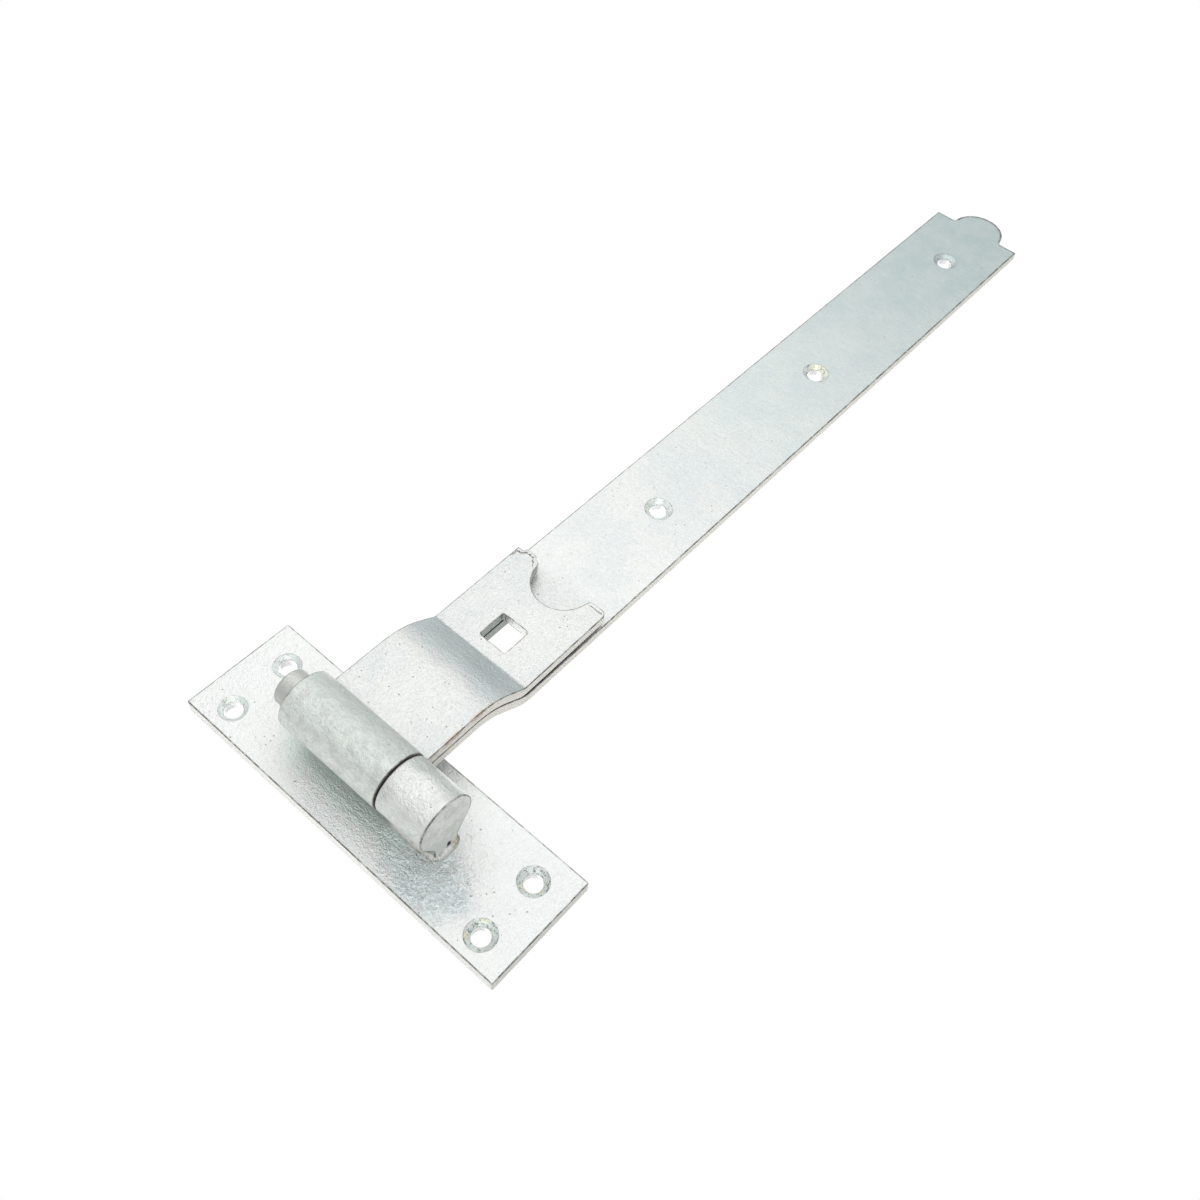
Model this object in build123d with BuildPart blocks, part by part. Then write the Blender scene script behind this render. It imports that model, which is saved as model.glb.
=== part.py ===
from build123d import *
from math import atan2, cos, degrees, radians, sin, sqrt, tan
import os

# Hook and band hinge, galvanised steel. All lengths are in millimetres.
# The back of the plate lies in the plane Y = 0 and faces +Y, its front faces -Y.
# +Z runs up the pin to its free end, +X runs along the band. The origin is the
# centre of the plate's back face. "Height" below means the distance in front of
# the back plane, so a height h stands at Y = -h.

# Back plate
plate_width = 40.0
plate_length = 130.0
plate_thickness = 4.5
plate_corner_radius = 0.5
plate_edge_radius = 0.3
plate_hole_pitch_x = 21.5
plate_hole_pitch_z = 106.0
plate_hole_shift_x = -1.3
plate_hole_diameter = 6.0
plate_upper_head_diameter = 9.2
plate_lower_head_diameter = 10.0

# Countersinks of the plate and the band, cut from the front
countersink_angle = 104.0

# Hook: pin, thicker collar and the foot that carries the collar on the plate, one forging
pin_diameter = 12.4
pin_projection = 6.9
pin_end_radius = 1.0
collar_diameter = 19.7
collar_length = 18.4
collar_edge_chamfer = 0.3
collar_foot_z = -27.9
foot_width = 8.8
foot_shift_x = -0.5
foot_flank_angle = 32.0
foot_flank_radius = 4.0

# Weld round the foot
weld_leg = 1.3
weld_height = 1.1
weld_corner_radius = 1.6
weld_slope = 45.0

# Band: one strip, cranked, rolled round the pin and folded back on itself
strip_width = 40.0
strip_thickness = 3.8
strip_edge_radius = 0.4
running_clearance = 0.1
lift_gap = 0.5
throat_radius = 2.0
crank_height = 10.9
crank_angle = 34.0
crank_foot_x = 55.6
crank_foot_radius = 7.8
crank_head_radius = 22.0
leaf_gap = 0.2
leaf_foot_gap = 1.6
leaf_foot_radius = 3.9
leaf_spring_angle = 1.1
leaf_end_x = 92.0
leaf_corner_radius = 2.4
tail_cut_shift_z = -1.2
tail_horn_radius = 2.0
torn_lip = [(-1.0, 17.6), (1.2, 17.2), (1.6, 15.0), (1.1, 12.6), (-0.6, 11.2), (-1.6, 12.4)]
shoulder_x = 367.3
tongue_radius = 11.1
tongue_reach = 0.5
tongue_root_radius = 1.4
cut_overrun = 1.0
band_hole_diameter = 6.2
band_head_diameter = 10.1
band_hole_first_x = 143.1
band_hole_pitch = 98.2
band_hole_count = 3
band_hole_shift_z = -0.7

# Square hole for a carriage bolt, in line with the screw holes
bolt_square = 11.2
bolt_square_x = 63.4
bolt_back_length = 14.8
bolt_back_width = 12.2
bolt_corner_radius = 0.8

# Places that follow from the sizes
bore_radius = pin_diameter / 2 + running_clearance
axis_height = crank_height + strip_thickness + bore_radius
collar_top_z = collar_foot_z + collar_length
eye_foot_z = collar_top_z + lift_gap
band_z = eye_foot_z + strip_width / 2
pin_top_z = eye_foot_z + strip_width + pin_projection
tongue_centre_x = shoulder_x + tongue_reach
tail_cut_centre_x = leaf_end_x - tongue_reach
torn_lip_reach = max(x for x, z in torn_lip)

# Sketch planes: across the pin seen from below, the back plane seen from the front
pin_origin = (0, -axis_height, 0)
section_plane = Plane(origin=(0, 0, band_z), x_dir=(1, 0, 0), z_dir=(0, 0, -1))
band_front = Plane(origin=(0, 0, band_z), x_dir=(1, 0, 0), z_dir=(0, -1, 0))
plate_front = Plane(origin=(0, 0, 0), x_dir=(1, 0, 0), z_dir=(0, -1, 0))
plate_face = plate_front.offset(plate_thickness)


# Back plate: a cropped flat with four countersunk holes, the upper pair sunk less deep
with BuildPart() as back_plate:
    with BuildSketch(plate_front):
        RectangleRounded(plate_width, plate_length, plate_corner_radius)
    extrude(amount=plate_thickness)
    front_face = back_plate.faces().sort_by(Axis.Y)[0]
    fillet(front_face.edges(), plate_edge_radius)
    for hole_z, head_diameter in ((plate_hole_pitch_z / 2, plate_upper_head_diameter),
                                  (-plate_hole_pitch_z / 2, plate_lower_head_diameter)):
        with Locations(plate_face):
            with Locations((plate_hole_shift_x, hole_z)):
                with GridLocations(plate_hole_pitch_x, plate_hole_pitch_z, 2, 1):
                    CounterSinkHole(plate_hole_diameter / 2, head_diameter / 2,
                                    depth=plate_thickness, counter_sink_angle=countersink_angle)
back_plate.part.label = "back_plate"


# Hook: the pin that the band turns on, its collar, and a foot whose flanks leave the collar's
# round and close in to a narrow stem on the plate, flush with the collar's lower end
with BuildPart() as hook_pin:
    with BuildSketch(Plane(origin=pin_origin, x_dir=(1, 0, 0), z_dir=(0, -1, 0))):
        with BuildLine():
            Polyline((0, collar_foot_z), (collar_diameter / 2, collar_foot_z),
                     (collar_diameter / 2, collar_top_z), (pin_diameter / 2, collar_top_z),
                     (pin_diameter / 2, pin_top_z), (0, pin_top_z), (0, collar_foot_z))
        make_face()
    revolve(axis=Axis(pin_origin, (0, 0, 1)))
    rims = hook_pin.edges().filter_by(GeomType.CIRCLE).group_by(Axis.Z)
    fillet(rims[-1], pin_end_radius)
    chamfer(rims[1].sort_by(SortBy.RADIUS)[-1:], collar_edge_chamfer)

    touch_x = collar_diameter / 2 * cos(radians(foot_flank_angle))
    touch_y = -collar_diameter / 2 * sin(radians(foot_flank_angle))
    base = plate_thickness - axis_height
    right_x = foot_shift_x + foot_width / 2
    left_x = foot_shift_x - foot_width / 2
    right_y = touch_y - (touch_x - right_x) / tan(radians(foot_flank_angle))
    left_y = touch_y - (touch_x + left_x) / tan(radians(foot_flank_angle))
    with BuildSketch(Plane(origin=(0, -axis_height, collar_top_z), x_dir=(1, 0, 0), z_dir=(0, 0, -1))):
        with BuildLine():
            Polyline((left_x, base), (right_x, base), (right_x, right_y), (touch_x, touch_y),
                     (-touch_x, touch_y), (left_x, left_y), (left_x, base))
        make_face()
        knees = vertices().sort_by(Axis.Y)[2:4]
        fillet(knees, foot_flank_radius)
    extrude(amount=collar_length)
hook_pin.part.label = "hook_pin"


# Weld: a bead on the plate all round the foot's stem
with BuildPart() as foot_weld:
    with BuildSketch(plate_face):
        with Locations((foot_shift_x, collar_foot_z + collar_length / 2)):
            RectangleRounded(foot_width + 2 * weld_leg, collar_length + 2 * weld_leg, weld_corner_radius)
    extrude(amount=weld_height, taper=weld_slope)
    with BuildSketch(plate_face):
        with Locations((foot_shift_x, collar_foot_z + collar_length / 2)):
            Rectangle(foot_width, collar_length)
    extrude(amount=weld_height, mode=Mode.SUBTRACT)
foot_weld.part.label = "foot_weld"


# Band: the strip's middle line is drawn once, given its thickness and stretched to its width
def band_centreline():
    """The strip's middle line from the tongue round the eye to the tail, as lines and tangent arcs."""
    half = strip_thickness / 2
    bend = throat_radius + half
    eye_radius = bore_radius + half
    neck_height = crank_height + half
    layer_step = strip_thickness + leaf_gap
    leaf_height = neck_height + layer_step
    turn = radians(crank_angle)
    spring = radians(leaf_spring_angle)
    both = crank_foot_radius + crank_head_radius
    slope = (crank_height - both * (1 - cos(turn))) / sin(turn)
    crank_head_x = crank_foot_x - both * sin(turn) - slope * cos(turn)
    foot = (crank_foot_x, half + crank_foot_radius)
    head = (crank_head_x, neck_height - crank_head_radius)
    throat_rise = leaf_height + bend - axis_height
    throat_x = sqrt((eye_radius + bend) ** 2 - throat_rise ** 2)
    throat_angle = degrees(atan2(throat_rise, throat_x))

    # Lower layer: flat, up the crank and under the pin
    Line((tongue_centre_x + tongue_radius, half), (crank_foot_x, half))
    foot_arc = CenterArc(foot, crank_foot_radius, -90, -crank_angle)
    head_arc = CenterArc(head, crank_head_radius, 90 - crank_angle, crank_angle)
    Line(foot_arc @ 1, head_arc @ 0)
    Line(head_arc @ 1, (0, neck_height))

    # Eye: round the pin, then the reverse bend that lays the strip back on itself
    CenterArc((0, axis_height), eye_radius, -90, throat_angle - 270)
    throat_arc = CenterArc((throat_x, leaf_height + bend), bend, 180 + throat_angle, 90 - throat_angle)

    # Leaf: back over the crank with a sharper foot, then a tail that springs up slightly
    leaf_head = CenterArc(head, crank_head_radius + layer_step, 90, -crank_angle)
    Line(throat_arc @ 1, leaf_head @ 0)
    slope_start = leaf_head @ 1
    bend_y = strip_thickness + leaf_foot_gap + half + leaf_foot_radius * cos(spring)
    bend_x = slope_start.X + (leaf_foot_radius - (bend_y - slope_start.Y) * cos(turn)) / sin(turn)
    leaf_foot = CenterArc((bend_x, bend_y), leaf_foot_radius, -90 - crank_angle,
                          crank_angle + leaf_spring_angle)
    Line(slope_start, leaf_foot @ 0)
    tail_start = leaf_foot @ 1
    blank_end_x = leaf_end_x + torn_lip_reach + cut_overrun
    tail_rise = (blank_end_x - tail_start.X) * tan(spring)
    Line(tail_start, (blank_end_x, tail_start.Y + tail_rise))


with BuildPart() as band:
    with BuildSketch(section_plane):
        with BuildLine():
            band_centreline()
        trace(line_width=strip_thickness)
    extrude(amount=strip_width / 2, both=True)
    side_faces = band.faces().sort_by(Axis.Z)
    fillet((side_faces[0].edges() + side_faces[-1].edges()), strip_edge_radius)

    # Tongue and tail are cut by one die: the tongue of one strip leaves the round cut
    # in the tail of the next, so both share their sizes
    with BuildSketch(band_front):
        with Locations((shoulder_x, 0)):
            Rectangle(2 * tongue_radius, strip_width + 2 * cut_overrun, align=(Align.MIN, Align.CENTER))
        with Locations((tongue_centre_x, 0)):
            Circle(tongue_radius, mode=Mode.SUBTRACT)
        fillet(vertices().group_by(Axis.X)[0].sort_by(Axis.Y)[1:3], tongue_root_radius)
    extrude(amount=strip_thickness, mode=Mode.SUBTRACT)
    between_layers = band_front.offset(strip_thickness + leaf_foot_gap / 2)
    with BuildSketch(between_layers):
        with Locations((leaf_end_x, 0)):
            Rectangle(2 * tongue_radius, strip_width + 2 * cut_overrun, align=(Align.MIN, Align.CENTER))
        with Locations((tail_cut_centre_x, tail_cut_shift_z)):
            Circle(tongue_radius)
        fillet(vertices().group_by(Axis.X)[0].sort_by(Axis.Y)[1:3], tail_horn_radius)
        # One horn keeps a lip where the shears tore it, and the other has its outer corner rounded off
        with Locations((leaf_end_x, 0)):
            Polygon(*torn_lip, align=None, mode=Mode.SUBTRACT)
        with Locations((leaf_end_x, -strip_width / 2)):
            Rectangle(leaf_corner_radius, leaf_corner_radius, align=(Align.MAX, Align.MIN))
        with Locations((leaf_end_x - leaf_corner_radius, leaf_corner_radius - strip_width / 2)):
            Circle(leaf_corner_radius, mode=Mode.SUBTRACT)
    extrude(amount=2 * strip_thickness, mode=Mode.SUBTRACT)

    # Countersunk screw holes along the band
    for index in range(band_hole_count):
        with Locations(band_front.offset(strip_thickness)):
            with Locations((band_hole_first_x + index * band_hole_pitch, band_hole_shift_z)):
                CounterSinkHole(band_hole_diameter / 2, band_head_diameter / 2,
                                depth=strip_thickness, counter_sink_angle=countersink_angle)

    # Square hole through the folded-back leaf, and the longer hole behind it
    with BuildSketch(between_layers):
        with Locations((bolt_square_x, band_hole_shift_z)):
            RectangleRounded(bolt_square, bolt_square, bolt_corner_radius)
    extrude(amount=2 * strip_thickness, mode=Mode.SUBTRACT)
    with BuildSketch(band_front):
        with Locations((bolt_square_x + (bolt_back_length - bolt_square) / 2, band_hole_shift_z)):
            RectangleRounded(bolt_back_length, bolt_back_width, bolt_corner_radius)
    extrude(amount=strip_thickness, mode=Mode.SUBTRACT)
band.part.label = "band"

os.makedirs("parts", exist_ok=True)
export_step(back_plate.part, "parts/back_plate.step")
export_step(hook_pin.part, "parts/hook_pin.step")
export_step(foot_weld.part, "parts/foot_weld.step")
export_step(band.part, "parts/band.step")
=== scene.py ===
"""Looks of the galvanised hook and band hinge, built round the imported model.

Row frame in metres: +X along the band, +Y into the post, +Z up the pin. The photograph shows the
hinge on its back, seen from in front and below, so its table is the plane Y = 0 here.
"""

import bmesh
import bpy
import numpy as np
from mathutils import Matrix, Vector


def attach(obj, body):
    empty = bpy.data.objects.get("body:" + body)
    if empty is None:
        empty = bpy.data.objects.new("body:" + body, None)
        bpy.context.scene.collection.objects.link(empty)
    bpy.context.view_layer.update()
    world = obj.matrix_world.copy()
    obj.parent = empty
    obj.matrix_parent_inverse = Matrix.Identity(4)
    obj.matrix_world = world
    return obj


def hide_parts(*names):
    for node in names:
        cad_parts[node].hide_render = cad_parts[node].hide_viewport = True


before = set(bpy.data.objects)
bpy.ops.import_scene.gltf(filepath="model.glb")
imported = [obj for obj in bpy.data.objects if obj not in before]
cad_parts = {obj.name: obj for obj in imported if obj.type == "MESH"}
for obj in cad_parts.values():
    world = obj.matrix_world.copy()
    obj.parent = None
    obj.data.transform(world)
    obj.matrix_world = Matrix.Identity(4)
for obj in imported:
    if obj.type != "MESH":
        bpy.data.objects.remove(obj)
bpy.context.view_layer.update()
MM = 0.001
scene = bpy.context.scene
scene.view_settings.view_transform = "Standard"


# Camera: where the photograph was taken from, found by fitting the finished solids to it.
# The picture is square and 1200 pixels wide.
picture_width = 1200
focal_pixels = 1228.9
camera_place = (-0.10037, -0.33742, -0.14162)
camera_right = (0.65543, -0.07325, -0.75170)
camera_up = (0.58239, -0.58468, 0.56478)
camera_back = (-0.48087, -0.80795, -0.34055)

camera = bpy.data.objects.new("camera", bpy.data.cameras.new("camera"))
scene.collection.objects.link(camera)
turn = Matrix((camera_right, camera_up, camera_back)).transposed().to_4x4()
camera.matrix_world = Matrix.Translation(camera_place) @ turn
camera.data.sensor_width = 36.0
camera.data.lens = camera.data.sensor_width * focal_pixels / picture_width
camera.data.clip_start = 0.01
camera.data.clip_end = 20.0
scene.camera = camera


# Shader arithmetic, used by the sky and by every finish below.
class Signal:
    """One output of a shader node. Sums, products and the like on signals add Math nodes."""

    def __init__(self, tree, socket):
        self.tree = tree
        self.socket = socket

    def node(self, kind, inputs, output=0, **settings):
        """A new node of this kind in the same tree: settings, then sockets by name or number."""
        made = self.tree.nodes.new(kind)
        for name, value in settings.items():
            setattr(made, name, value)
        for name, value in inputs.items():
            if isinstance(value, Signal):
                self.tree.links.new(value.socket, made.inputs[name])
            else:
                made.inputs[name].default_value = value
        return Signal(self.tree, made.outputs[output])

    def math(self, operation, first, second=0.0):
        return self.node("ShaderNodeMath", {0: first, 1: second}, operation=operation)

    def __add__(self, other):
        return self.math("ADD", self, other)

    __radd__ = __add__

    def __sub__(self, other):
        return self.math("SUBTRACT", self, other)

    def __rsub__(self, other):
        return self.math("SUBTRACT", other, self)

    def __mul__(self, other):
        return self.math("MULTIPLY", self, other)

    __rmul__ = __mul__

    def __abs__(self):
        return self.math("ABSOLUTE", self)

    def at_most(self, other):
        return self.math("MINIMUM", self, other)

    def at_least(self, other):
        return self.math("MAXIMUM", self, other)

    def step(self, start, end):
        """0 before start and 1 after end, with a smooth change between. Start may be the larger."""
        return self.node("ShaderNodeMapRange",
                         {"Value": self, "From Min": start, "From Max": end},
                         interpolation_type="SMOOTHSTEP")

    def blend(self, first, second):
        """Mixes two colours by this signal."""
        return self.node("ShaderNodeMix", {0: self, 6: first, 7: second}, 2, data_type="RGBA")

    def parts(self):
        """The three numbers of a vector."""
        split = self.node("ShaderNodeSeparateXYZ", {0: self}).socket.node
        return [Signal(self.tree, socket) for socket in split.outputs]

    def noise(self, size_mm, detail=2.0, roughness=0.5, stretch=None):
        """Soft noise from 0 to 1 with blobs of about this size, read at this place."""
        place = self
        if stretch:
            place = self.node("ShaderNodeMapping", {"Vector": self, "Scale": stretch})
        return place.node("ShaderNodeTexNoise",
                          {"Vector": place, "Scale": 1.0 / (size_mm * MM),
                           "Detail": detail, "Roughness": roughness})

    def away_from(self, middle_mm, stretch):
        """The distance in metres from here to a point that is given in millimetres. Each axis is
        multiplied by its stretch first."""
        start = [-part * MM * factor for part, factor in zip(middle_mm, stretch)]
        moved = self.node("ShaderNodeMapping",
                          {"Vector": self, "Location": start, "Scale": stretch})
        return moved.node("ShaderNodeVectorMath", {0: moved}, "Value", operation="LENGTH")


# Sky: a plain white room. The camera, reflections and clear things see it white, and the light
# that it throws on the surfaces is softer than the lamps'.
sky_level = 0.42

scene.world = bpy.data.worlds.new("room")
scene.world.use_nodes = True
sky = scene.world.node_tree
sky.nodes.clear()
ray = sky.nodes.new("ShaderNodeLightPath").outputs
camera_ray, glossy_ray, clear_ray = [Signal(sky, ray["Is " + kind + " Ray"])
                                     for kind in ("Camera", "Glossy", "Transmission")]
seen = camera_ray.at_least(glossy_ray).at_least(clear_ray)
room = seen.node("ShaderNodeBackground",
                 {"Color": (1, 1, 1, 1), "Strength": sky_level + (1 - sky_level) * seen})
sky.links.new(room.socket, sky.nodes.new("ShaderNodeOutputWorld").inputs["Surface"])


# Lamps: one broad soft window over the table in the photograph, a fill from the camera's side, a
# wide weak one from below for the light that a white table throws back, and two behind, so that
# the back is lit as well. Each has its place, its width in metres and its power in watts.
lamp_aim = (0.15, 0.0, 0.0)
lamps = {
    "window": ((0.45, -0.97, 0.36), 1.45, 6.2),
    "fill": ((-0.40, -0.95, -0.65), 1.20, 4.4),
    "table_bounce": ((0.00, -0.40, -1.00), 1.10, 7.5),
    "behind_left": ((-0.45, 0.85, 0.35), 0.90, 3.6),
    "behind_right": ((0.80, 0.80, 0.20), 0.90, 3.6),
}
for name, (place, width, watts) in lamps.items():
    lamp = bpy.data.objects.new(name, bpy.data.lights.new(name, "AREA"))
    lamp.data.shape = "DISK"
    lamp.data.size = width
    lamp.data.energy = watts
    lamp.location = place
    lamp.rotation_mode = "QUATERNION"
    lamp.rotation_quaternion = (Vector(lamp_aim) - Vector(place)).to_track_quat("-Z", "Y")
    lamp.visible_camera = False
    scene.collection.objects.link(lamp)


# Floor: a pale round table top well under the hinge, outside the photograph's view.
floor_radius = 0.50
floor_middle = (0.18, -0.05, -0.40)
floor_sides = 96
floor_grey = (0.90, 0.90, 0.90, 1)

turns = np.linspace(0, 2 * np.pi, floor_sides, endpoint=False)
rim = np.stack([floor_middle[0] + floor_radius * np.cos(turns),
                floor_middle[1] + floor_radius * np.sin(turns),
                np.full(floor_sides, floor_middle[2])], axis=1)
floor_mesh = bpy.data.meshes.new("floor")
floor_mesh.from_pydata(rim.tolist(), [], [list(range(floor_sides))])
floor = bpy.data.objects.new("floor", floor_mesh)
scene.collection.objects.link(floor)
floor_paint = bpy.data.materials.new("floor_paint")
floor_paint.use_nodes = True
floor_shader = floor_paint.node_tree.nodes["Principled BSDF"]
floor_shader.inputs["Base Color"].default_value = floor_grey
floor_shader.inputs["Roughness"].default_value = 0.8
floor_mesh.materials.append(floor_paint)


# Zinc: the hot-dip coat on every piece. It is pale and mottled in cloudy patches of a cooler and
# a warmer grey, finely speckled, lightly scratched and pitted, and it thins to a dark nicked line
# along sharp edges. Where the steel was sheared or cropped it looks yellower and rougher, and it
# is also painted much lighter there: painted light for the light that the white table throws back.
cool_zinc = (0.506, 0.526, 0.523, 1)
warm_zinc = (0.550, 0.556, 0.541, 1)
sheared_tint_and_light = (0.930, 0.905, 0.835, 1)
wall_reflection_white = (0.930, 0.940, 0.940, 1)
dull_zinc = (0.710, 0.760, 0.710, 1)
edge_line = (0.085, 0.082, 0.068, 1)
pit_dark = (0.270, 0.255, 0.220, 1)
crevice_shade_dark = (0.020, 0.028, 0.032, 1)
pit_spacing = 1.9 * MM
crevice_shade_reach = 2.5 * MM
relief_height = 0.40 * MM


def zinc(name, edge_width_mm, sheared, rims, stains, roughen=None, walls=None, scale=None):
    """A galvanised finish. sheared(place, facing) is 1 on cut faces, rims(place, facing) is 1 on
    rounded edges, stains(place, facing, colour) adds what only this piece has, roughen(place)
    adds relief, walls(place, facing) is 1 inside drilled holes, where the zinc is smooth and
    shiny and is painted nearly white, a painted reflection of the white room, and scale(place)
    is 1 where the steel was worked hot and the coat is dull."""
    paint = bpy.data.materials.new(name)
    paint.use_nodes = True
    tree = paint.node_tree
    shader = tree.nodes["Principled BSDF"]
    texture = tree.nodes.new("ShaderNodeTexCoord").outputs
    place = Signal(tree, texture["Object"])
    facing = Signal(tree, texture["Normal"])

    clouds = place.noise(22, 3, 0.55)
    patches = place.noise(6.5, 3, 0.6)
    speckle = place.noise(1.1, 3, 0.65)
    grain = place.noise(0.45, 2, 0.6)
    brushed = place.noise(1.6, 4, 0.6, stretch=(1.0, 1.0, 0.16))
    scored = place.noise(1.8, 4, 0.6, stretch=(0.16, 1.0, 1.0))

    tone = (clouds * 0.55 + patches * 0.45).step(0.40, 0.60)
    colour = tone.blend(cool_zinc, warm_zinc)
    shade = 1.0 + 0.30 * (speckle - 0.5) + 0.10 * (patches - 0.5) + 0.42 * (grain - 0.5)
    colour = colour.node("ShaderNodeVectorMath", {0: colour, 3: shade}, operation="SCALE")

    # Cut faces: yellower and rougher, and painted much lighter, as painted light from below
    cut = sheared(place, facing)
    rough_cut = place.noise(1.4, 3, 0.7)
    colour = (cut * (0.45 + 0.8 * rough_cut).at_most(1.0)).blend(colour, sheared_tint_and_light)

    metal = 0.85 - 0.55 * cut
    if scale:
        dull = scale(place)
        blotch = place.noise(2.8, 4, 0.7).step(0.38, 0.62)
        colour = (dull * (0.40 + 0.55 * blotch)).blend(colour, dull_zinc)
        metal = metal - 0.40 * dull
    colour = stains(place, facing, colour)

    # Pits: one small dark speck in some of the cells, where the patches let them gather
    cells = place.node("ShaderNodeTexVoronoi", {"Vector": place, "Scale": 1 / pit_spacing})
    cell_colour = Signal(tree, cells.socket.node.outputs["Color"])
    chosen = cell_colour.parts()[0].step(0.56, 0.62)
    pit = cells.step(0.14, 0.07) * chosen * patches.step(0.47, 0.56)
    colour = (pit * 0.75).blend(colour, pit_dark)

    # Edge line: where the surface turns sharply within the width of a fine bevel
    straight = Signal(tree, tree.nodes.new("ShaderNodeNewGeometry").outputs["Normal"])
    rounded = place.node("ShaderNodeBevel", {"Radius": edge_width_mm * MM}, samples=8)
    alike = place.node("ShaderNodeVectorMath", {0: straight, 1: rounded}, "Value",
                       operation="DOT_PRODUCT")
    nicks = place.noise(2.6, 4, 0.7).step(0.36, 0.60)
    edge = (1.0 - alike).step(0.006, 0.05).at_least(rims(place, facing)) * (0.35 + 0.65 * nicks)
    colour = (edge * 0.92).blend(colour, edge_line)

    # Crevices: painted shade, darkened where the same piece stands close in front
    open_sky = place.node("ShaderNodeAmbientOcclusion", {"Distance": crevice_shade_reach}, 1,
                          samples=8, only_local=True)
    colour = open_sky.step(0.90, 0.50).blend(colour, crevice_shade_dark)

    relief = (speckle - 0.5) * 0.60 + (grain - 0.5) * 0.35 + (patches - 0.5) * 0.8
    relief = relief + (brushed - 0.5) * 0.25 + (scored - 0.5) * 0.25
    relief = relief - pit * 0.5 + cut * (rough_cut - 0.5) * 1.2
    if roughen:
        relief = relief * (1.0 + 2.4 * roughen(place))
    bumped = relief.node("ShaderNodeBump",
                         {"Height": relief, "Strength": 1.0, "Distance": relief_height})
    gloss = 0.44 + 0.16 * (patches - 0.5) + 0.12 * (speckle - 0.5) + 0.10 * cut
    # Hole walls: smoother, and painted nearly white, a painted reflection of the white room
    if walls:
        inside = walls(place, facing)
        colour = inside.blend(colour, wall_reflection_white)
        gloss = gloss * (1.0 - 0.75 * inside)

    finish = {"Base Color": colour, "Metallic": metal, "Roughness": gloss, "Normal": bumped}
    for socket, value in finish.items():
        if isinstance(value, Signal):
            tree.links.new(value.socket, shader.inputs[socket])
        else:
            shader.inputs[socket].default_value = value
    return paint


def dress(node, paint):
    """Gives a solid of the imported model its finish."""
    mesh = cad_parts[node].data
    mesh.materials.clear()
    mesh.materials.append(paint)


# Countersinks of the plate and the band: the cutter left their zinc greener, with dark specks
# and a yellow cast in places. The plate's upper holes and the band's holes nearer the eye are
# painted paler as well, a painted reflection.
cone_grey = (0.68, 0.73, 0.71, 1)
cone_reflection_pale = (0.74, 0.80, 0.79, 1)
cone_yellow = (0.78, 0.77, 0.56, 1)
cone_speck = (0.20, 0.23, 0.22, 1)


def screw_cones(facing, colour, place, where, pale):
    """The cones run from grey, where pale is 0, to nearly white, where it is 1; the paler ones are
    a painted reflection.
    """
    turned = abs(facing.parts()[1])
    cone = turned.step(0.30, 0.40) * turned.step(0.92, 0.86) * where
    cast = place.noise(6.0, 2).step(0.50, 0.58) * 0.7
    green = pale.blend(cone_grey, cone_reflection_pale)
    green = (cast * (1.0 - pale * 0.7)).blend(green, cone_yellow)
    specks = place.noise(1.0, 4, 0.75).step(0.52, 0.60) * (0.95 - 0.55 * pale)
    return cone.blend(colour, specks.blend(green, cone_speck))


# Back plate: a flat cropped from sheared bar, screwed to the post. Its four sides are sheared
# faces. Heat and flux from the weld have left a rough bluish patch beside and below the foot.
plate_half_width = 20.0 * MM
plate_half_length = 65.0 * MM
plate_front_y = -4.5 * MM
plate_border = (1.1 * MM, 1.0 * MM)
plate_line = (0.58 * MM, 0.28 * MM)
heat_middle_mm = (-10.5, -4.5, -30.0)
heat_stretch = (1.0, 1.0, 0.65)
plate_paler_tone = (0.640, 0.655, 0.645, 1)
shadow_green_tint = (0.560, 0.680, 0.615, 1)
heat_blue = (0.545, 0.680, 0.700, 1)
heat_glint = (0.840, 0.900, 0.900, 1)


def plate_sides(place, facing):
    """1 where the surface looks sideways or along the pin, not to the front or back."""
    return abs(facing.parts()[1]).step(0.45, 0.25)


def near_outline(place, start, end):
    """0 further inside the plate's outline than start and 1 nearer to it than end."""
    x, _, z = [abs(part) for part in place.parts()]
    return (plate_half_width - x).at_most(plate_half_length - z).step(start, end)


def plate_rims(place, facing):
    """1 along the outline, on the front and on its rounded edges, outside the screw holes."""
    turned = abs(facing.parts()[1])
    rounded = near_outline(place, *plate_border) * turned.step(0.995, 0.93)
    outline = near_outline(place, *plate_line) * 0.9
    return outline.at_least(rounded) * turned.step(0.10, 0.40)


def plate_front(place):
    """1 on the front half of the plate's thickness."""
    return place.parts()[1].step(-2.0 * MM, -4.0 * MM)


def weld_heat(place):
    """1 at the middle of the patch that the weld heated, 0 beyond its ragged border."""
    ragged = 12.0 * MM * (place.noise(6.0, 4, 0.6) - 0.5)
    patch = (place.away_from(heat_middle_mm, heat_stretch) + ragged).step(14.0 * MM, 4.0 * MM)
    return patch * plate_front(place)


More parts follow.
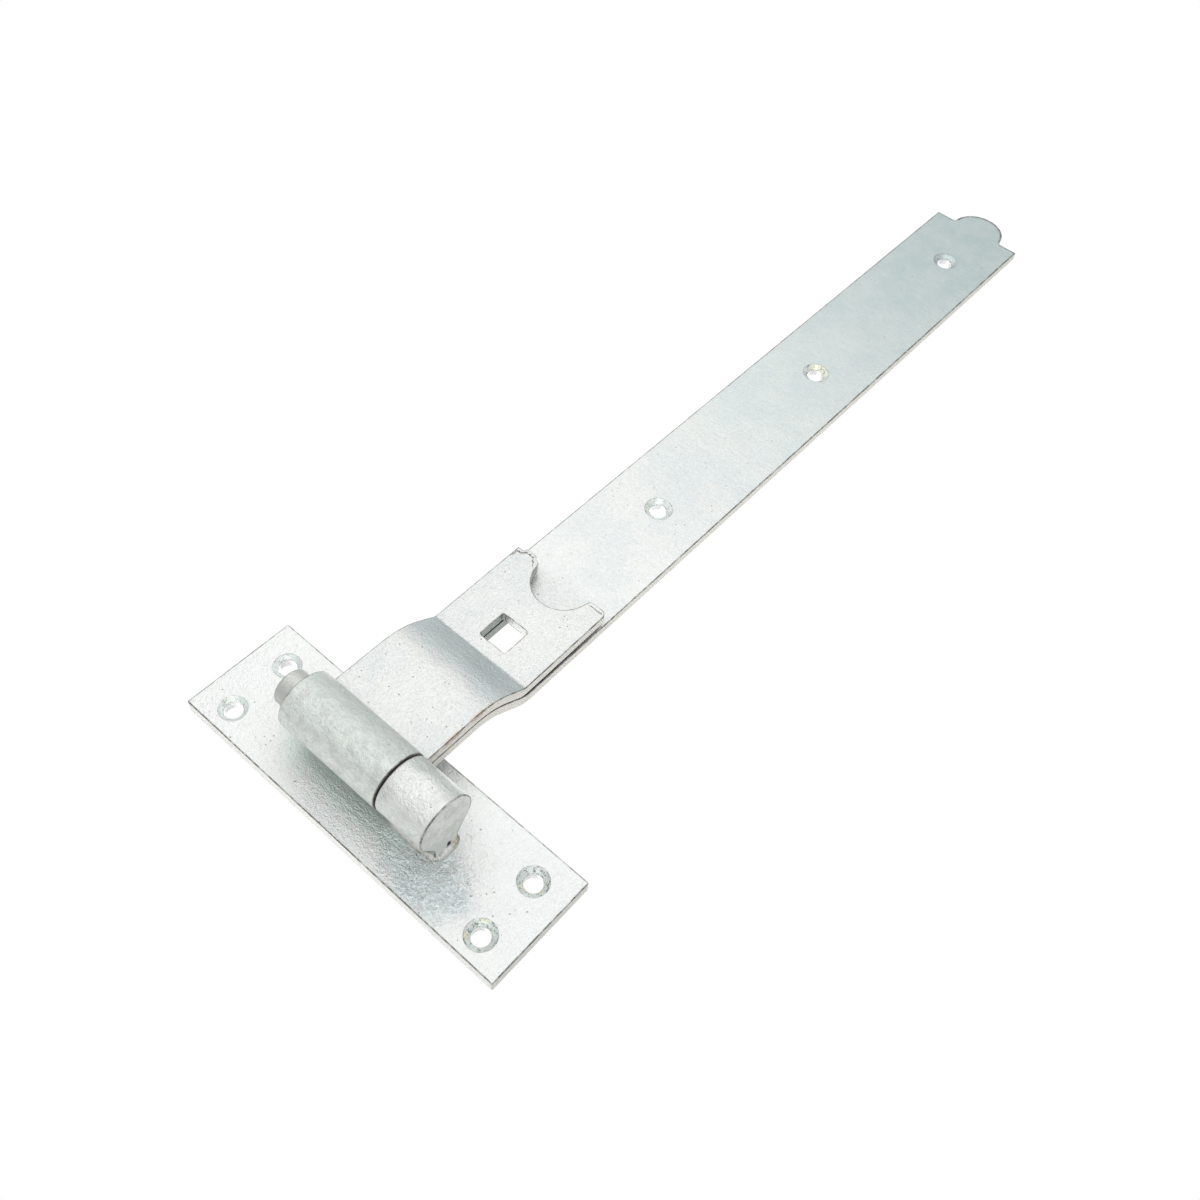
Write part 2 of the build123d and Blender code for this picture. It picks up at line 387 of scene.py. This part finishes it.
def plate_stains(place, facing, colour):
    """Paler than the band, with a painted green tint in the shade beside the eye, the bluish heat
    patch with its glints, and the screw cones."""
    x, _, z = place.parts()
    colour = (0.25 + place.noise(30, 2) * 0.5).blend(colour, plate_paler_tone)
    # Painted shade: a green tint in the shade that the eye and collar throw beside them
    eye_shadow_area = abs(x + 4.0 * MM).step(13.0 * MM, 4.0 * MM) * plate_front(place)
    eye_shadow_area = eye_shadow_area * z.step(40.0 * MM, 25.0 * MM) * z.step(-30.0 * MM, -18.0 * MM)
    green = eye_shadow_area * (0.15 + 0.6 * place.noise(5.0, 4, 0.7))
    colour = green.blend(colour, shadow_green_tint)
    heat = weld_heat(place)
    mottled = heat * (0.05 + 0.7 * place.noise(2.4, 4, 0.7))
    colour = mottled.blend(colour, heat_blue)
    wrinkles = place.noise(0.9, 4, 0.7, stretch=(0.8, 1.0, 0.45)).step(0.46, 0.58)
    colour = (heat * wrinkles * 0.65).blend(colour, heat_glint)
    inner = 1.0 - near_outline(place, *plate_border)
    return screw_cones(facing, colour, place, inner * 0.95, z.step(-10.0 * MM, 10.0 * MM))


def plate_hole_walls(place, facing):
    """1 on the straight walls of the screw holes."""
    inner = 1.0 - near_outline(place, *plate_border)
    return inner * abs(facing.parts()[1]).step(0.20, 0.10)


dress("back_plate", zinc("plate_zinc", 0.45, plate_sides, plate_rims, plate_stains,
                         roughen=weld_heat, walls=plate_hole_walls))


# Pin, collar and foot: one forging that stands on the plate. Its lower end face was cropped, and
# the crop left a nicked dark line round the collar's rim and a small cavity at its foot, whose
# shade is painted as a black spot.
collar_end_z = -27.9 * MM
collar_top_z = -9.5 * MM
cavity_middle_mm = (0.6, -6.545, -27.9)
cavity_stretch = (1.0, 0.55, 1.0)
pin_top_dark = (0.405, 0.425, 0.395, 1)
collar_white = (0.720, 0.735, 0.710, 1)
collar_side_shade = (0.400, 0.445, 0.420, 1)
collar_mottle = (0.470, 0.515, 0.490, 1)
gap_shade_dark = (0.060, 0.050, 0.038, 1)
pressed_zinc_and_light = (0.780, 0.820, 0.780, 1)
ran_zinc_and_light = (0.960, 0.980, 0.970, 1)
cavity_shade_black = (0.015, 0.014, 0.010, 1)


def collar_end(place, facing):
    """1 on the end faces that look along the pin."""
    return abs(facing.parts()[2]).step(0.75, 0.95)


def collar_rim(place, facing):
    """1 on the last half millimetre of the collar's side before its lower end."""
    below = place.parts()[2].step(collar_end_z + 0.75 * MM, collar_end_z + 0.35 * MM)
    return below * abs(facing.parts()[2]).step(0.95, 0.80)


def below_eye(place):
    """1 on the collar and the foot, 0 on the pin inside and above the eye."""
    return place.parts()[2].step(collar_top_z + 0.5 * MM, collar_top_z - 0.5 * MM)


def collar_stains(place, facing, colour):
    """The pin is darker at its top end, and the collar whiter, with painted shade on its sides and
    a shoulder painted nearly black as shade in the gap under the eye. The cropped end is greener
    where it was pressed and whiter where the zinc ran, and painted much lighter too, as painted
    light from below, with a small cavity at its foot painted black as its shade."""
    z = place.parts()[2]
    sideways, _, along = facing.parts()
    pin_top_darkening = z.step(26.0 * MM, 30.0 * MM) * (0.55 + 0.4 * place.noise(3.0, 4, 0.7))
    colour = pin_top_darkening.blend(colour, pin_top_dark)
    collar = below_eye(place)
    white = collar * place.noise(9.0, 3, 0.6).step(0.25, 0.60)
    colour = (white * 0.75).blend(colour, collar_white)
    # Painted shade: the collar's sides are painted greyer, more on the side that faces along the
    # band
    sides = sideways.step(0.05, 0.70).at_least(sideways.step(-0.60, -0.90) * 0.45) * collar
    colour = (sides * (0.45 + 0.35 * place.noise(2.6, 4, 0.7))).blend(colour, collar_side_shade)
    mottle = collar * place.noise(2.2, 4, 0.75).step(0.50, 0.64) * 0.30
    colour = mottle.blend(colour, collar_mottle)
    # Painted shade: the collar's shoulder in the gap under the eye is painted nearly black
    shoulder = along.step(0.75, 0.95) * z.step(collar_top_z + 1.5 * MM, collar_top_z + 0.5 * MM)
    colour = (shoulder * 0.9).blend(colour, gap_shade_dark)
    # Cropped end: greener and whiter zinc, and also painted much lighter, as painted light from
    # below
    run = place.noise(5.0, 3, 0.6).step(0.45, 0.60)
    cropped = along.step(-0.75, -0.95) * 0.8
    colour = cropped.blend(colour, run.blend(pressed_zinc_and_light, ran_zinc_and_light))
    # Painted shade: a black spot standing in for the small cavity at the foot
    ragged = 1.6 * MM * (place.noise(1.4, 3) - 0.5)
    away = place.away_from(cavity_middle_mm, cavity_stretch) + ragged
    return away.step(1.15 * MM, 0.65 * MM).blend(colour, cavity_shade_black)


def collar_skin(place):
    """More relief on the collar and the foot, whose forged skin is coarser than the pin's."""
    return below_eye(place) * 0.40


dress("hook_pin", zinc("pin_zinc", 0.7, collar_end, collar_rim, collar_stains,
                       roughen=collar_skin))


# Weld: a bead run right round the foot on the plate, uneven in width and height, with ripples
# where the weld pool froze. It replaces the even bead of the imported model.
foot_middle_x, foot_middle_z = -0.5 * MM, -18.7 * MM
foot_half_width, foot_half_length = 4.4 * MM, 9.2 * MM
bead_leg = 1.60 * MM
bead_height = 1.35 * MM
bead_steps = 420
bead_sides = 20
bead_squareness = 6.0
slag_green = (0.340, 0.350, 0.270, 1)
burnt_brown = (0.330, 0.250, 0.150, 1)


def ripple(turns, waves, seed):
    """Smooth random numbers from about -1 to 1 along a line: a sum of sines with random phases
    and heights, divided by the sum of the heights."""
    dice = np.random.default_rng(seed)
    phases = dice.uniform(0, 2 * np.pi, len(waves))
    heights = dice.uniform(0.5, 1.0, len(waves))
    total = (heights * np.sin(np.multiply.outer(turns, waves) + phases)).sum(axis=-1)
    return total / heights.sum()


def signed_power(value, power):
    """The value's size raised to a power, with the value's sign."""
    return np.sign(value) * np.abs(value) ** power


def skin_quads(rings, sides, closed=False):
    """The faces between neighbouring rings of points, and from the last ring back to the first
    where the skin is closed like a tyre's."""
    row, column = np.meshgrid(np.arange(rings if closed else rings - 1), np.arange(sides),
                              indexing="ij")
    next_row, next_column = (row + 1) % rings, (column + 1) % sides
    corners = [row * sides + column, row * sides + next_column,
               next_row * sides + next_column, next_row * sides + column]
    return np.stack([corner.ravel() for corner in corners], axis=1)


def new_piece(name, points, faces, paint):
    """A smooth piece from its points in metres and its faces, which are turned outwards."""
    mesh = bpy.data.meshes.new(name)
    mesh.from_pydata(points.reshape(-1, 3).tolist(), [], faces)
    mesh.polygons.foreach_set("use_smooth", np.ones(len(mesh.polygons), dtype=bool))
    shell = bmesh.new()
    shell.from_mesh(mesh)
    bmesh.ops.recalc_face_normals(shell, faces=shell.faces)
    shell.to_mesh(mesh)
    shell.free()
    mesh.materials.append(paint)
    piece = bpy.data.objects.new(name, mesh)
    scene.collection.objects.link(piece)
    return piece


# The bead's line is a superellipse round the foot, |x/a|^6 + |z/b|^6 = 1, and its section is an
# ellipse about the corner of foot and plate, whose half that lies in the steel is hidden.
along = np.linspace(0, 2 * np.pi, bead_steps, endpoint=False)
across = np.linspace(0, 2 * np.pi, bead_sides, endpoint=False)
line_power = 2 / bead_squareness
normal_power = 2 * (bead_squareness - 1) / bead_squareness
line_x = foot_middle_x + foot_half_width * signed_power(np.cos(along), line_power)
line_z = foot_middle_z + foot_half_length * signed_power(np.sin(along), line_power)
out_x = signed_power(np.cos(along), normal_power) / foot_half_width
out_z = signed_power(np.sin(along), normal_power) / foot_half_length
out_length = np.hypot(out_x, out_z)
leg = bead_leg * (1.0 + 0.30 * ripple(along, np.arange(3, 12), 3)
                  + 0.12 * ripple(along, np.arange(30, 70, 4), 4))
height = bead_height * (1.0 + 0.35 * ripple(along, np.arange(3, 14), 5)
                        + 0.15 * ripple(along, np.arange(34, 80, 5), 6))
reach = np.multiply.outer(leg, np.cos(across))
bead = np.stack([line_x[:, None] + (out_x / out_length)[:, None] * reach,
                 plate_front_y - np.multiply.outer(height, np.sin(across)),
                 line_z[:, None] + (out_z / out_length)[:, None] * reach], axis=-1)


def bead_faces(place, facing):
    """The bead was never sheared, but its skin is rough all over."""
    return 0.3


def no_rims(place, facing):
    """The bead has no rounded edges."""
    return 0.0


def bead_stains(place, facing, colour):
    """Patches of grey-green slag, and brown scale at the bead's lower right end."""
    slag = place.noise(1.6, 4, 0.7).step(0.50, 0.62) * 0.6
    colour = slag.blend(colour, slag_green)
    x, _, z = place.parts()
    low_right = x.step(0.5 * MM, 3.0 * MM) * z.step(-25.0 * MM, -27.5 * MM)
    burnt = low_right * place.noise(2.0, 3, 0.6).step(0.40, 0.55)
    return (burnt * 0.8).blend(colour, burnt_brown)


weld = new_piece("weld", bead, skin_quads(bead_steps, bead_sides, closed=True).tolist(),
                 zinc("weld_zinc", 0.12, bead_faces, no_rims, bead_stains))
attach(weld, "hook")
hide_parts("foot_weld")


# Spatter: drops of weld metal that froze on the plate, thickest close to the foot's left side and
# below it. Each is a flattened dome, a little squashed, whose border is sunk into the plate. The
# numbers here are in millimetres.
drop_count = 260
drop_rings = 5
drop_sides = 9
spatter_middle_x, spatter_middle_z = -3.0, -29.0
drop_bright = (0.720, 0.770, 0.780, 1)


def drops(seed):
    """The points of all domes, in metres, and their faces. A dome's points are
    (r cos t cos p, h sin t, r cos t sin p) for t from -20 to 78 degrees and p all round."""
    dice = np.random.default_rng(seed)
    angle = dice.uniform(np.radians(140), np.radians(285), drop_count)
    far = 3.0 + 17.0 * dice.beta(1.1, 2.6, drop_count)
    x = spatter_middle_x + 0.85 * far * np.cos(angle)
    z = spatter_middle_z + 1.05 * far * np.sin(angle)
    z = z + dice.uniform(0, 10, drop_count) * (x < -5)
    size = 0.14 + 0.40 * dice.beta(1.0, 3.5, drop_count)
    under_foot = (np.abs(x + 0.5) < 5.6) & (z > -29.2)
    keep = (np.abs(x) < 19) & ~under_foot
    x, z, size = x[keep], z[keep], size[keep]
    squash = dice.uniform(0.75, 1.25, len(x))
    flat = dice.uniform(0.45, 0.85, len(x))

    tilt = np.radians(np.linspace(-20, 78, drop_rings))
    turn = np.linspace(0, 2 * np.pi, drop_sides, endpoint=False)
    ring_x = np.multiply.outer(np.cos(tilt), np.cos(turn)).ravel()
    ring_y = np.repeat(np.sin(tilt), drop_sides)
    ring_z = np.multiply.outer(np.cos(tilt), np.sin(turn)).ravel()
    skin = np.stack([x[:, None] + (size * squash)[:, None] * ring_x,
                     plate_front_y / MM - (size * flat)[:, None] * ring_y,
                     z[:, None] + (size / squash)[:, None] * ring_z], axis=-1) * MM

    starts = np.arange(len(x)) * drop_rings * drop_sides
    quads = (starts[:, None, None] + skin_quads(drop_rings, drop_sides)).reshape(-1, 4)
    foot = starts[:, None] + np.arange(drop_sides)
    crown = foot + (drop_rings - 1) * drop_sides
    return skin, quads.tolist() + foot.tolist() + crown.tolist()


def drop_stains(place, facing, colour):
    """The drops froze last and kept a thick bright coat."""
    return (place.noise(1.5, 2) * 0.7).blend(colour, drop_bright)


spatter = new_piece("spatter", *drops(11),
                    zinc("spatter_zinc", 0.05, bead_faces, no_rims, drop_stains))
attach(spatter, "hook")


# Band: one strip of flat bar with sheared edges, cranked, rolled round the pin and folded back.
# A brown trace of rust runs along the leaf's lower edge at the neck.
band_middle = 11.0 * MM
half_strip = 20.0 * MM
screw_line = 10.3 * MM
square_middle_x = 64.3 * MM
crease_x = 90.5 * MM
leaf_cut_starts, leaf_cut_ends = 79 * MM, 96 * MM
flat_starts, last_hole_ends = 100 * MM, 345 * MM
shoulder_x = 367.0 * MM
line_growth = 0.0008
tongue_middle_mm = (367.8, 0.0, 11.0)
tongue_stretch = (1.0, 0.0, 1.0)
pin_middle_mm = (0.0, -21.0, 0.0)
pin_stretch = (1.0, 1.0, 0.0)
tip_dark_tone = (0.340, 0.412, 0.415, 1)
tip_pale_tone = (0.392, 0.455, 0.446, 1)
eye_side_shade = (0.430, 0.480, 0.460, 1)
slope_shade_blue = (0.390, 0.455, 0.465, 1)
rust_brown = (0.430, 0.320, 0.220, 1)
wall_green = (0.300, 0.340, 0.315, 1)
crease_shade_dark = (0.160, 0.150, 0.120, 1)


def strip_sides(place, facing):
    """1 on the strip's two long sheared sides and on its cut ends."""
    fx, _, fz = [abs(part) for part in facing.parts()]
    x, _, z = place.parts()
    ends = fx.step(0.6, 0.8) * x.step(leaf_cut_starts, leaf_cut_starts + MM)
    long_sides = fz.step(0.55, 0.8) * abs(z - band_middle).step(14 * MM, 16 * MM)
    return long_sides.at_least(ends)


def strip_rims(place, facing):
    """1 along both sides of the strip and on their rounded edges, round its tongue and
    shoulders, and round the leaf's cut end. The line along the sides grows wider with x."""
    x, _, z = place.parts()
    _, over, turned = [abs(part) for part in facing.parts()]
    on_face = over.step(0.10, 0.30)
    leaf_end = x.step(leaf_cut_starts - MM, leaf_cut_starts)
    leaf_end = leaf_end * x.step(leaf_cut_ends + MM, leaf_cut_ends)
    near_ends = x.step(shoulder_x - MM, shoulder_x).at_least(leaf_end)
    ends = near_ends * on_face * over.step(0.985, 0.93)
    away = place.away_from(tongue_middle_mm, tongue_stretch)
    tongue = away.step(9.9 * MM, 10.5 * MM) * x.step(shoulder_x + MM, shoulder_x + 2 * MM)
    beside = away.step(11.5 * MM, 12.5 * MM) * 0.8
    shoulders = beside * x.step(shoulder_x - 0.7 * MM, shoulder_x - 0.2 * MM)
    ends = ends.at_least(tongue.at_least(shoulders) * on_face)
    off_middle = abs(z - band_middle)
    grown = off_middle + x * line_growth
    outline = grown.step(half_strip - 0.45 * MM, half_strip - 0.20 * MM) * 0.8
    rounded = off_middle.step(half_strip - 0.6 * MM, half_strip - 0.5 * MM)
    sides = outline.at_least(rounded * turned.step(0.10, 0.35)) * turned.step(0.99, 0.90)
    return sides.at_least(ends)


def rolled_eye(place):
    """1 on the eye, whose outside lies within 10.2 mm of the pin's middle."""
    return place.away_from(pin_middle_mm, pin_stretch).step(11.6 * MM, 10.2 * MM)


def strip_tones(place, facing, colour):
    """Darker towards the tip, painted shade on the eye's side that faces along the band and on the
    slope of the crank, and painted shade on the eye's end face in the gap over the collar."""
    x = place.parts()[0]
    sideways, _, along = facing.parts()
    eye = rolled_eye(place)
    # Darker towards the tip
    dull = x.step(60 * MM, 400 * MM) * 0.95 * (1.0 - 0.85 * strip_sides(place, facing))
    drained = place.noise(9.0, 4, 0.65).step(0.32, 0.68)
    colour = dull.blend(colour, drained.blend(tip_dark_tone, tip_pale_tone))
    # Painted shade on the eye's side that faces along the band
    colour = (sideways.step(-0.25, 0.45) * eye * 0.50).blend(colour, eye_side_shade)
    # Painted shade: the eye's end face in the gap over the collar
    colour = (along.step(-0.70, -0.95) * eye * 0.9).blend(colour, gap_shade_dark)
    # Painted shade on the slope of the crank
    on_crank = x.step(30 * MM, 36 * MM) * x.step(60 * MM, 54 * MM)
    return (sideways.step(0.15, 0.50) * on_crank * 0.6).blend(colour, slope_shade_blue)


def strip_stains(place, facing, colour):
    """The tones above, the rust trace, the green wall of the square hole, a crease across the
    leaf's lower horn drawn as a broken line of painted shade, and the screw cones, softer at the
    tip."""
    colour = strip_tones(place, facing, colour)
    x, y, z = place.parts()
    near_edge = z.step(-7.6 * MM, -8.9 * MM) * y.step(-16.5 * MM, -17.6 * MM)
    near_edge = near_edge * x.step(8 * MM, 16 * MM) * x.step(44 * MM, 34 * MM)
    rust = near_edge * place.noise(5.0, 4, 0.7).step(0.44, 0.60)
    colour = (rust * 0.65).blend(colour, rust_brown)
    in_square = abs(x - square_middle_x).step(9.0 * MM, 8.0 * MM)
    in_square = in_square * abs(z - screw_line).step(7.0 * MM, 6.4 * MM)
    lower_wall = in_square * facing.parts()[2].step(-0.40, -0.80)
    colour = (lower_wall * 0.85).blend(colour, wall_green)
    # Painted shade: a broken dark line along the crease across the leaf's lower horn
    horn = y.step(-9.4 * MM, -9.6 * MM) * z.step(2.2 * MM, 1.2 * MM)
    wavy_x = x + 1.4 * MM * (place.noise(2.2, 3, 0.6) - 0.5)
    crease = abs(wavy_x - crease_x).step(0.32 * MM, 0.12 * MM) * horn
    broken = place.noise(1.5, 3, 0.7).step(0.40, 0.52)
    colour = (crease * broken * 0.85).blend(colour, crease_shade_dark)
    strong = 0.9 - 0.6 * x.step(270 * MM, 330 * MM)
    cones = x.step(flat_starts, flat_starts + MM) * strong
    return screw_cones(facing, colour, place, cones, x.step(260 * MM, 120 * MM))


def strip_hole_walls(place, facing):
    """1 on the straight walls of the three screw holes."""
    x, _, z = place.parts()
    near = abs(z - screw_line).step(4.0 * MM, 3.6 * MM)
    near = near * x.step(flat_starts, flat_starts + MM)
    near = near * x.step(last_hole_ends + MM, last_hole_ends)
    return near * abs(facing.parts()[1]).step(0.20, 0.10)


def strip_skin(place):
    """Above 0 on the eye, whose coat wrinkled, and below 0 along the flat strap, where it
    drained off and froze smoother."""
    x = place.parts()[0]
    smooth = 0.22 * x.step(92 * MM, 98 * MM) + 0.10 * x.step(150 * MM, 260 * MM)
    return 0.40 * rolled_eye(place) - smooth


dress("band", zinc("band_zinc", 0.65, strip_sides, strip_rims, strip_stains, roughen=strip_skin,
                   walls=strip_hole_walls, scale=rolled_eye))


# Burr: the ragged ridge that the shears raised along the torn horn of the folded-back leaf. It
# follows the horn's outline on the leaf's front face. Its numbers are in millimetres.
burr_steps = 160
burr_sides = 10
burr_line = np.array([(87.6, 30.4), (90.6, 30.2), (91.0, 28.2), (92.0, 27.4), (92.4, 26.0),
                      (92.0, 24.3), (90.7, 23.0), (89.3, 21.9)])
leaf_front_y = -9.93
burr_shake = 0.28
burr_flatness = 0.80
torn_dark = (0.120, 0.110, 0.080, 1)


def burr(seed):
    """The points, in metres, and faces of a tube along the outline. Its path and its radius are
    shaken by smooth noise, and it tapers to both ends as the 0.35th power of a sine."""
    runs = np.concatenate([[0], np.cumsum(np.hypot(*np.diff(burr_line, axis=0).T))])
    steps = np.linspace(0, runs[-1], burr_steps)
    x, z = [np.interp(steps, runs, burr_line[:, axis]) for axis in (0, 1)]
    turns = steps / runs[-1] * np.pi
    x = x + burr_shake * ripple(turns, np.arange(7, 30, 3), seed)
    z = z + burr_shake * ripple(turns, np.arange(7, 30, 3), seed + 1)
    taper = np.sin(turns).clip(0.02, 1) ** 0.35
    size = (0.28 + 0.24 * ripple(turns, np.arange(11, 46, 4), seed + 2)) * taper
    ahead = np.gradient(np.stack([x, z], axis=1), axis=0)
    ahead = ahead / np.linalg.norm(ahead, axis=1, keepdims=True)
    around = np.linspace(0, 2 * np.pi, burr_sides, endpoint=False)
    sideways = np.multiply.outer(size, np.cos(around))
    skin = np.stack([x[:, None] - ahead[:, 1:] * sideways,
                     leaf_front_y - burr_flatness * np.multiply.outer(size, np.sin(around)),
                     z[:, None] + ahead[:, :1] * sideways], axis=-1) * MM
    first = list(range(burr_sides))
    last = [(burr_steps - 1) * burr_sides + side for side in first]
    return skin, skin_quads(burr_steps, burr_sides).tolist() + [first, last]


def burr_stains(place, facing, colour):
    """Torn steel shows brown and nearly black through the broken coat."""
    broken = place.noise(0.9, 4, 0.7).step(0.40, 0.52) * 0.85
    return broken.blend(colour, torn_dark)


horn_burr = new_piece("horn_burr", *burr(21),
                      zinc("burr_zinc", 0.15, bead_faces, no_rims, burr_stains))
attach(horn_burr, "band")
